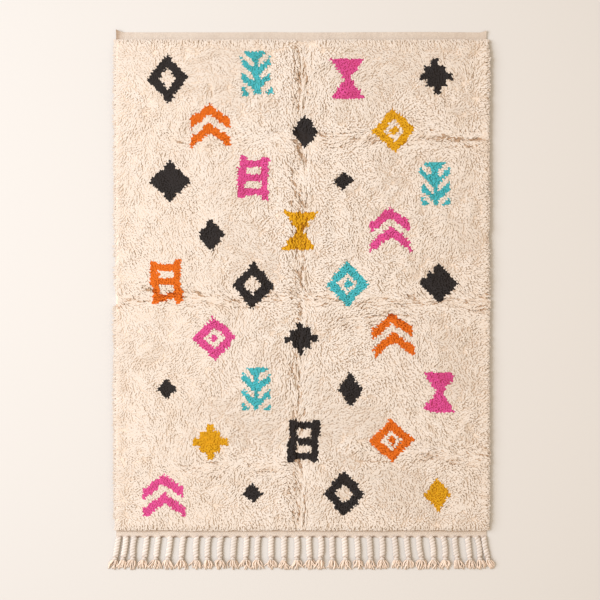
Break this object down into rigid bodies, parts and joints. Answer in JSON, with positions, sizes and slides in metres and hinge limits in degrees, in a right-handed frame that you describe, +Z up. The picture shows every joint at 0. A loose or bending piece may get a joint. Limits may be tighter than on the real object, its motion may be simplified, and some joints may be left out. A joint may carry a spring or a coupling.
{
  "type": "azilal shag rug",
  "caption": "Hand-knotted cream wool shag rug with bright geometric motifs, flat-woven end bands and a fringe of twisted, knotted and tasselled cords along one end.",
  "frame": {"origin": "on the floor, under the middle of the rug's bounding box, fringe included", "axes": "+X across the rug, +Y along it towards the plain end, so that the fringe is at -Y; +Z up out of the pile"},
  "size_m": [1.533, 2.1346, 0.0281],
  "materials": {
    "pile_wool": "long, matt cut wool pile in undyed cream, with dyed motifs",
    "warp_wool": "matt undyed wool: flat weave, two-ply cords and loose yarn ends"
  },
  "bodies": {
    "root": {"rug_body": "pile_wool", "fringe": "warp_wool"}
  },
  "joints": []
}
